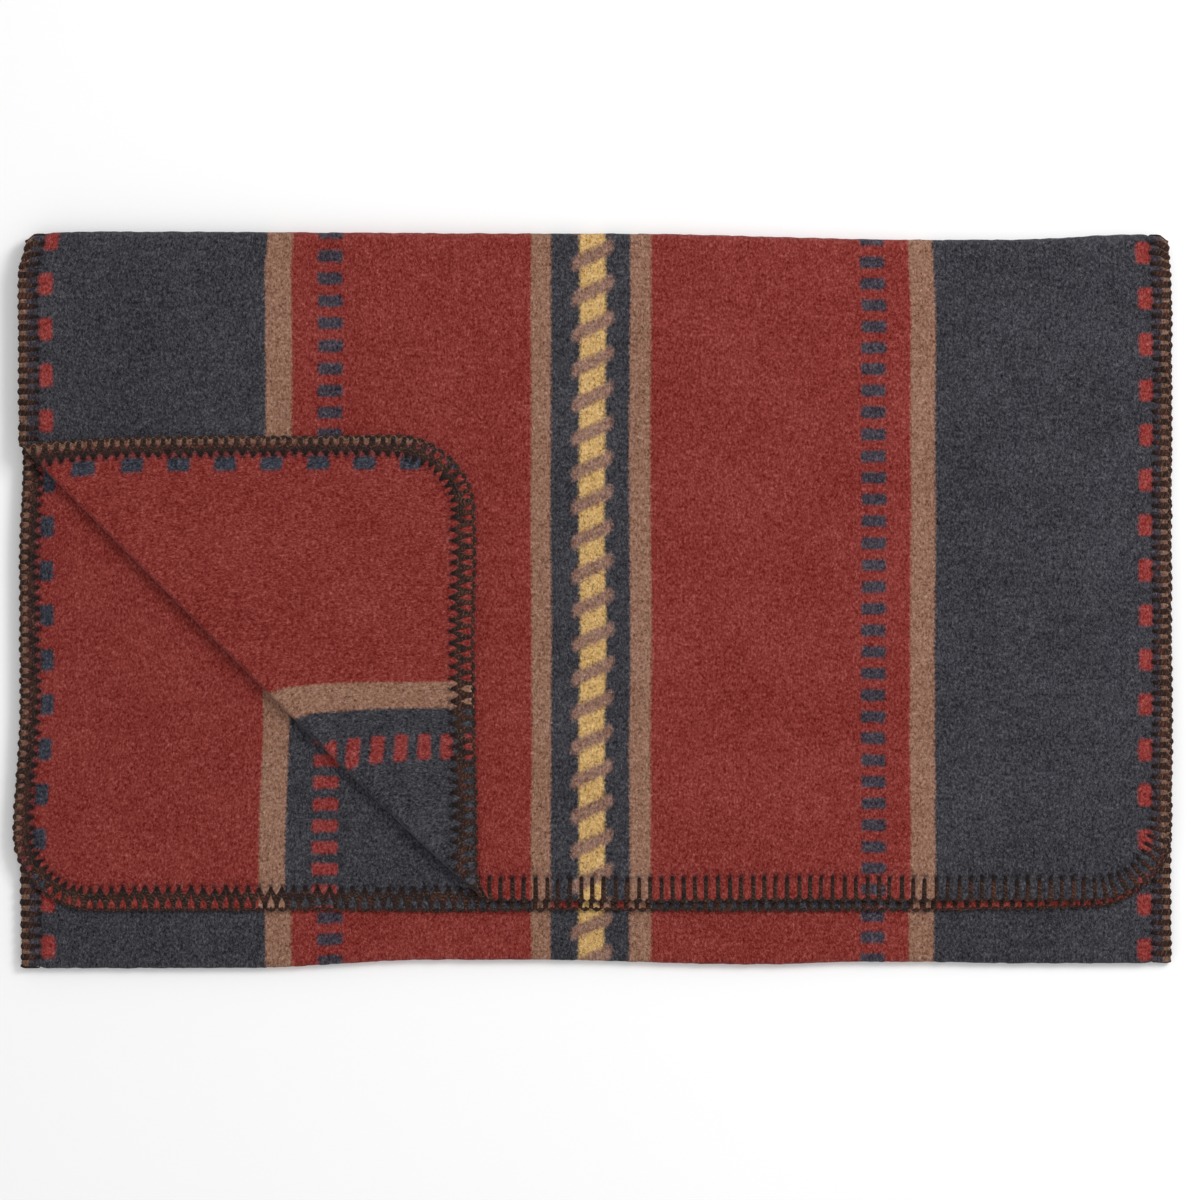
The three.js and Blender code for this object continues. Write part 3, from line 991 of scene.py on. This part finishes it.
RED = srgb(125, 45, 39)
SLATE = srgb(53, 52, 58)
TAN = srgb(141, 103, 84)
GOLD = srgb(200, 162, 103)
MAUVE = srgb(137, 104, 90)
PLUM = srgb(58, 47, 54)
DASH_RED = srgb(134, 50, 46)
DASH_NAVY = srgb(50, 52, 62)
YARN = srgb(52, 31, 25)
# darker dye patches, and painted shade in the grooves between the plies
YARN_DARK_DYE_AND_PLY_SHADE = srgb(19, 11, 10)
YARN_RUST = srgb(84, 46, 34)
YARN_PALE = srgb(140, 104, 80)
DARK_FLECK = srgb(72, 46, 40)  # dark fibres that show among tan and gold ones
EDGE_TAN = srgb(112, 82, 66)  # the tan selvedge between the stitches
HEATHER = 0.78  # strength of the light and dark fibres
# painted shade in the holes where the yarn goes into the cloth
HOLE_SHADE = srgb(20, 10, 9)
SCREEN_GAMMA = 2.2
DARKEST = (0.04, 0.03, 0.03)  # no fibre is darker than this, as the eye sees it

# The pattern, in millimetres across the cloth from its left side, seen from the front
STRIPES = [(162.6, 179.8), (338.7, 351.6), (403.8, 417.7), (588.9, 605.1)]
RED_FIELDS = [(171, 345), (411, 597)]
# Each column of dashes: its middle across, half width, pitch, half length, and a dash's middle along
EDGE_COLUMNS = [(17.4, 4.7, 29.54, 7.1, 20.8), (745.0, 4.9, 29.74, 7.1, 9.8)]
NAVY_COLUMNS = [(205.4, 8.3, 14.34, 3.9, 6.5), (564.6, 8.1, 14.34, 3.9, 6.5)]
SELVEDGE = 4.8  # width of the tan edge under the stitches
LOOSER = 0.036  # share by which the turned corner's dashes are further apart
ROPE_CENTRE = 379.0
ROPE = {"pitch": 22.7, "lean": 0.46, "gold_half": 8.3, "band_half": 4.8, "knob_half": 13.4, "middle": 14.7}


def repeated(g, along, pitch, middle):
    """Distance along from the middle of the nearest repeat."""
    turns = g.times(g.minus(along, middle - pitch / 2), 1 / pitch)
    return g.math("ABSOLUTE", g.times(g.minus(g.math("FRACT", turns), 0.5), pitch))


def rounded_patch(g, across, along, half_across, half_along, corner, soft):
    """1 inside a patch with rounded corners, for distances measured from its middle."""
    over_x = g.math("MAXIMUM", g.minus(across, half_across - corner), 0.0)
    over_y = g.math("MAXIMUM", g.minus(along, half_along - corner), 0.0)
    square = g.add(g.times(over_x, over_x), g.times(over_y, over_y))
    distance = g.math("SQRT", square)
    return g.ramp(distance, corner + soft / 2, corner - soft / 2)


def dashes(g, s, t, columns, corner, soft):
    """1 inside the dashes of the given columns."""
    mask = None
    for middle, half_width, pitch, half_length, first in columns:
        across = g.math("ABSOLUTE", g.minus(s, middle))
        along = repeated(g, t, pitch, first)
        one = rounded_patch(g, across, along, half_width, half_length, corner, soft)
        mask = one if mask is None else g.math("MAXIMUM", mask, one)
    return mask


def bands(g, s, ranges, soft):
    """1 inside the bands that run along the cloth."""
    mask = None
    for low, high in ranges:
        band = g.within(s, low, high, soft)
        mask = band if mask is None else g.math("MAXIMUM", mask, band)
    return mask


def heather(g, cloth):
    """Light and dark fibres, a little lighter or darker than 0."""
    fine = g.noise(g.scaled(cloth, 1.0, 0.8), 0.55, 4.0, 0.8)
    grain = g.noise(g.scaled(cloth, 1.5, 0.42, 1, (7, 3, 0)), 0.75, 2.0, 0.6)
    slant = g.noise(g.turned(cloth, 0.6, 0.75, 2.2, (19, 5, 2)), 1.0, 2.0, 0.6)
    slant2 = g.noise(g.turned(cloth, -0.9, 0.75, 2.0, (2, 41, 7)), 1.0, 2.0, 0.6)
    blotch = g.noise(g.scaled(cloth, 1.0, 0.8, 1, (3, 9, 1)), 0.2, 2.0, 0.5)
    broad = g.noise(cloth, 0.02, 2.0, 0.5)
    tone = None
    shares = ((fine, 0.8), (grain, 0.3), (slant, 0.36), (slant2, 0.3), (blotch, 0.2), (broad, 0.1))
    for noise, share in shares:
        part = g.times(g.minus(noise, 0.5), share)
        tone = part if tone is None else g.add(tone, part)
    return tone


def wool(name, reverse):
    """The felted jacquard. The reverse has red and slate swapped."""
    g = Graph(name)
    _, (s_true, t_true, hole) = g.cloth_position()
    join = g.node("ShaderNodeCombineXYZ")
    g.set(join.inputs[0], s_true)
    g.set(join.inputs[1], t_true)
    cloth = join.outputs[0]

    # felted yarns don't end in straight lines, so the pattern's own coordinates are ragged
    ragged = g.noise(cloth, 0.5, 3.0, 0.7)
    ragged2 = g.noise(g.scaled(cloth, 1, 1, 1, (31, 17, 5)), 0.5, 3.0, 0.7)
    s = g.add(s_true, g.times(g.minus(ragged, 0.5), 6.0))
    t = g.add(t_true, g.times(g.minus(ragged2, 0.5), 6.0))

    # the turned corner was woven a little looser, so its dashes are further apart
    into_corner = g.math("MAXIMUM", g.minus(LEG / MM, g.add(s_true, t_true)), 0.0)
    t_dash = g.add(t, g.times(into_corner, LOOSER))
    edge_mask = dashes(g, s, t_dash, EDGE_COLUMNS, 2.6, 2.2)
    navy_mask = dashes(g, s, t_dash, NAVY_COLUMNS, 2.0, 2.0)
    field = bands(g, s, RED_FIELDS, 1.4)
    slate_field = g.mix(field, SLATE, RED)
    if reverse:
        slate_field = g.mix(field, RED, SLATE)
    colour = g.mix(edge_mask, slate_field, DASH_NAVY if reverse else DASH_RED)
    colour = g.mix(g.times(navy_mask, 0.94), colour, DASH_RED if reverse else DASH_NAVY)
    tan = bands(g, s, STRIPES, 1.6)
    colour = g.mix(tan, colour, TAN)

    # the woven rope: leaning mauve bands between gold blocks
    x = g.minus(s, ROPE_CENTRE)
    along = repeated(g, g.minus(t, g.times(x, ROPE["lean"])), ROPE["pitch"], ROPE["middle"])
    out = g.math("ABSOLUTE", x)
    in_gold = g.ramp(out, ROPE["gold_half"] + 1.2, ROPE["gold_half"] - 1.2)
    in_knob = rounded_patch(g, out, along, ROPE["knob_half"], ROPE["band_half"], 3.6, 3.2)
    colour = g.mix(in_gold, colour, GOLD)
    colour = g.mix(g.times(in_knob, 0.96), colour, MAUVE)
    pale = g.math("MAXIMUM", tan, g.math("MAXIMUM", in_gold, in_knob))
    flecks = g.ramp(g.noise(g.scaled(cloth, 1, 0.9, 1, (51, 23, 9)), 0.62, 3.0, 0.7), 0.53, 0.66)
    colour = g.mix(g.times(g.times(flecks, pale), 0.72), colour, DARK_FLECK)

    # the selvedge under the edging
    from_side = g.math("MINIMUM", s_true, g.minus(WIDTH / MM, s_true))
    from_side = g.add(from_side, g.times(g.minus(ragged, 0.5), 3.0))
    # a plum tint darkens a band from 4.8 to 11 mm in from each side, under the yarn legs
    colour = g.mix(g.times(g.within(from_side, SELVEDGE, 11.0, 2.5), 0.6), colour, PLUM)
    edge_tan = g.mix(g.times(flecks, 0.75), EDGE_TAN, DARK_FLECK)
    colour = g.mix(g.ramp(from_side, SELVEDGE + 0.8, SELVEDGE - 0.8), colour, edge_tan)
    # painted shade darkens the cloth round each hole where the yarn goes in
    colour = g.mix(g.times(hole, 0.9), colour, HOLE_SHADE)

    # the fibres vary as much on a dark yarn as on a light one to the eye, so they are added
    # to the colour as the eye sees it
    seen = g.gamma(colour, 1 / SCREEN_GAMMA)
    tone = heather(g, cloth)
    varied = g.node("ShaderNodeVectorMath", operation="ADD")
    g.set(varied.inputs[0], seen)
    g.set(varied.inputs[1], g.times(tone, HEATHER))
    kept = g.node("ShaderNodeVectorMath", operation="MAXIMUM")
    g.set(kept.inputs[0], varied.outputs[0])
    kept.inputs[1].default_value = DARKEST
    linear = g.gamma(kept.outputs[0], SCREEN_GAMMA)

    pile = g.noise(g.scaled(cloth, 1.15, 0.8, 1, (0, 0, 40)), 0.9, 3.0, 0.65)
    height = g.add(pile, g.times(tone, 0.6))
    g.surface(linear, 0.95, height, 0.6, 0.9 * MM, 0.06, 0.15)
    return g.material


def yarn_material():
    """Thick two-ply wool yarn, unevenly dyed, with painted shade where it sinks into its hole and in the
    grooves between its plies.
    """
    g = Graph("edging_yarn")
    place, (travelled, _, around) = g.cloth_position()
    twist = g.add(g.times(travelled, 1 / 2.6), g.times(around, 2.0))
    ply = g.math("SINE", g.times(twist, 2 * math.pi))
    shade = g.noise(place, 0.3, 3.0, 0.65)
    rust = g.noise(g.scaled(place, 1, 1, 1, (40, 7, 3)), 0.1, 2.0, 0.6)
    fibre = g.noise(g.scaled(place, 1.4, 1.0, 3.0), 1.4, 2.0, 0.6)
    colour = g.mix(g.ramp(shade, 0.36, 0.6), YARN_DARK_DYE_AND_PLY_SHADE, YARN)
    colour = g.mix(g.times(g.ramp(rust, 0.5, 0.66), 0.7), colour, YARN_RUST)
    colour = g.mix(g.times(g.ramp(fibre, 0.54, 0.72), 0.65), colour, YARN_PALE)
    # painted shade in the grooves between the two plies, where the bump is low
    colour = g.mix(g.times(g.ramp(ply, 0.0, -1.0), 0.75), colour, YARN_DARK_DYE_AND_PLY_SHADE)
    # painted shade darkens each tube's first few millimetres, where the yarn sinks into its hole
    colour = g.mix(g.ramp(travelled, 5.2, 1.6), colour, HOLE_SHADE)
    height = g.add(g.times(ply, 0.35), fibre)
    g.surface(colour, 0.92, height, 0.6, 0.6 * MM, 0.06, 0.15)
    return g.material


def plain(name, colour, roughness):
    g = Graph(name)
    grain = g.noise(None, 900.0, 2.0, 0.5)
    g.surface(colour, roughness, grain, 0.02, 0.1 * MM, 0.0)
    return g.material


# ---------- build ----------

wool_front = wool("wool_front", False)
wool_reverse = wool("wool_reverse", True)
yarn = yarn_material()

outer = build_outer([wool_front, wool_reverse])
inner = build_inner([wool_front, wool_reverse])
turned = build_corner([wool_front, wool_reverse])
outer_left_edging = edging("outer_left_edging", outer_left_run, fold, [yarn], 21)
outer_right_edging = edging("outer_right_edging", outer_right_run, fold, [yarn], 22)
inner_edging = edging("inner_edging", inner_run, fold, [yarn], 23)
corner_edging = edging("turned_corner_edging", corner_run, fold_corner, [yarn], 24)

for piece in (outer, outer_left_edging, outer_right_edging):
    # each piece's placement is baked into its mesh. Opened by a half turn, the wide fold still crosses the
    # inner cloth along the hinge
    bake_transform(piece)
for piece in (inner, inner_edging):
    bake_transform(piece)
for piece in (turned, corner_edging):
    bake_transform(piece)

nodes = sorted(frame["nodes"])


def named(*starts):
    return [n for n in nodes if n.startswith(starts)]


def cloth_nodes(names):
    return [n for n in names if n.endswith("_cloth")]


def edging_nodes(names):
    return [n for n in names if "_edging_" in n]


outer_names = named("bottom_layer", "outer_fold", "top_layer")
inner_names = named("second_layer", "lower_fold", "inner_fold", "third_layer")
corner_names = named("corner_")
left_names = [n for n in edging_nodes(outer_names) if n.endswith("_left")]
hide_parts(*cloth_nodes(outer_names))
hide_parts(*cloth_nodes(inner_names))
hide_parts(*cloth_nodes(corner_names))
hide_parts(*left_names)
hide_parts(*[n for n in edging_nodes(outer_names) if n not in left_names])
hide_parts(*edging_nodes(inner_names))
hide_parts(*edging_nodes(corner_names))

# ---------- floor, light and camera ----------

FLOOR_HALF = 6.0
FLOOR_Z = -0.3 * MM
floor_corners = [(-1, -1), (1, -1), (1, 1), (-1, 1)]
floor = mesh_object(
    "floor",
    np.array([(x * FLOOR_HALF, y * FLOOR_HALF, FLOOR_Z) for x, y in floor_corners]),
    np.array([[0, 1, 2], [0, 2, 3]]),
    [plain("floor_paint", srgb(254, 254, 254), 0.9)],
)

world = bpy.data.worlds.new("studio")
world.use_nodes = True
background = world.node_tree.nodes["Background"].inputs
background["Color"].default_value = (1, 1, 1, 1)
background["Strength"].default_value = 0.7
bpy.context.scene.world = world


def soft_light(name, position, size, power):
    data = bpy.data.lights.new(name, "AREA")
    data.shape = "SQUARE"
    data.size = size
    data.energy = power
    light = bpy.data.objects.new(name, data)
    light.location = position
    light.rotation_euler = (-Vector(position)).to_track_quat("-Z", "Y").to_euler()
    bpy.context.scene.collection.objects.link(light)


soft_light("key", (1.45, 1.0, 1.8), 0.9, 32)

CAMERA_HEIGHT = 2.65
VIEW_WIDTH = 0.7931  # what the photograph's frame takes in at the top layer
SENSOR = 36
camera_data = bpy.data.cameras.new("camera")
camera_data.sensor_width = SENSOR
camera_data.lens = SENSOR * CAMERA_HEIGHT / VIEW_WIDTH
camera = bpy.data.objects.new("camera", camera_data)
camera.location = (3.0 * MM, 0.2 * MM, CAMERA_HEIGHT + LAYER_Z["top"])
bpy.context.scene.collection.objects.link(camera)
bpy.context.scene.camera = camera

scene = bpy.context.scene
scene.view_settings.view_transform = "Standard"
scene.view_settings.look = "None"
